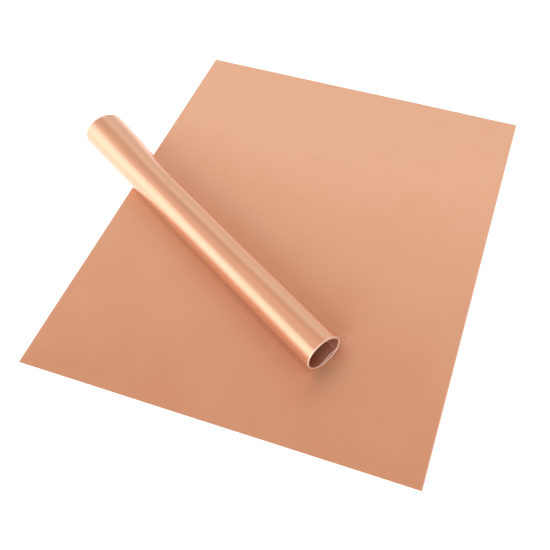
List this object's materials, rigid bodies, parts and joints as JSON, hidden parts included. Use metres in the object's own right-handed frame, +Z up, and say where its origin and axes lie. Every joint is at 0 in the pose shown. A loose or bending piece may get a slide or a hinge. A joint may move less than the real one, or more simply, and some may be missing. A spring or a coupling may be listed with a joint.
{
  "type": "rolled copper foil sheet",
  "caption": "Bare copper foil in two cut rectangles: one lying flat, one rolled into an open tube that rests diagonally across it and overhangs its edge.",
  "frame": {"origin": "middle of the flat sheet's underside, on the surface that it lies on", "axes": "+X along the rolled tube towards the end that lies over the flat sheet, +Z up; the flat sheet is turned 31.7 degrees about Z"},
  "size_m": [0.3064, 0.3228, 0.0212],
  "materials": {
    "flat_foil": null,
    "rolled_foil": null
  },
  "bodies": {
    "flat_sheet": {"flat_sheet": "flat_foil"},
    "roll": {"roll_wraps": "rolled_foil"},
    "free_end_strip_1": {"free_end_strip_1": "rolled_foil"},
    "free_end_strip_2": {"free_end_strip_2": "rolled_foil"},
    "free_end_strip_3": {"free_end_strip_3": "rolled_foil"},
    "free_end_strip_4": {"free_end_strip_4": "rolled_foil"},
    "free_end_strip_5": {"free_end_strip_5": "rolled_foil"},
    "free_end_strip_6": {"free_end_strip_6": "rolled_foil"}
  },
  "joints": [
    {"name": "roll_lift", "type": "slide", "parent": "flat_sheet", "child": "roll", "axis": [0, 0, 1], "range_m": [0, 0.06]},
    {"name": "free_end_curl_1", "type": "hinge", "parent": "roll", "child": "free_end_strip_1", "pos_m": [-0.0255, -0.04867, 0.02082], "axis": [1, 0, 0], "range_deg": [0, 25]},
    {"name": "free_end_curl_2", "type": "hinge", "parent": "free_end_strip_1", "child": "free_end_strip_2", "pos_m": [-0.0255, -0.04421, 0.02102], "axis": [1, 0, 0], "range_deg": [0, 25]},
    {"name": "free_end_curl_3", "type": "hinge", "parent": "free_end_strip_2", "child": "free_end_strip_3", "pos_m": [-0.0255, -0.04008, 0.01933], "axis": [1, 0, 0], "range_deg": [0, 25]},
    {"name": "free_end_curl_4", "type": "hinge", "parent": "free_end_strip_3", "child": "free_end_strip_4", "pos_m": [-0.0255, -0.03705, 0.01604], "axis": [1, 0, 0], "range_deg": [0, 25]},
    {"name": "free_end_curl_5", "type": "hinge", "parent": "free_end_strip_4", "child": "free_end_strip_5", "pos_m": [-0.0255, -0.03569, 0.01177], "axis": [1, 0, 0], "range_deg": [0, 25]},
    {"name": "free_end_curl_6", "type": "hinge", "parent": "free_end_strip_5", "child": "free_end_strip_6", "pos_m": [-0.0255, -0.03626, 0.00732], "axis": [1, 0, 0], "range_deg": [0, 25]}
  ],
  "couplings": [
    {"joint": "free_end_curl_2", "follows": "free_end_curl_1", "ratio": 1},
    {"joint": "free_end_curl_3", "follows": "free_end_curl_1", "ratio": 1},
    {"joint": "free_end_curl_4", "follows": "free_end_curl_1", "ratio": 1},
    {"joint": "free_end_curl_5", "follows": "free_end_curl_1", "ratio": 1},
    {"joint": "free_end_curl_6", "follows": "free_end_curl_1", "ratio": 1}
  ]
}
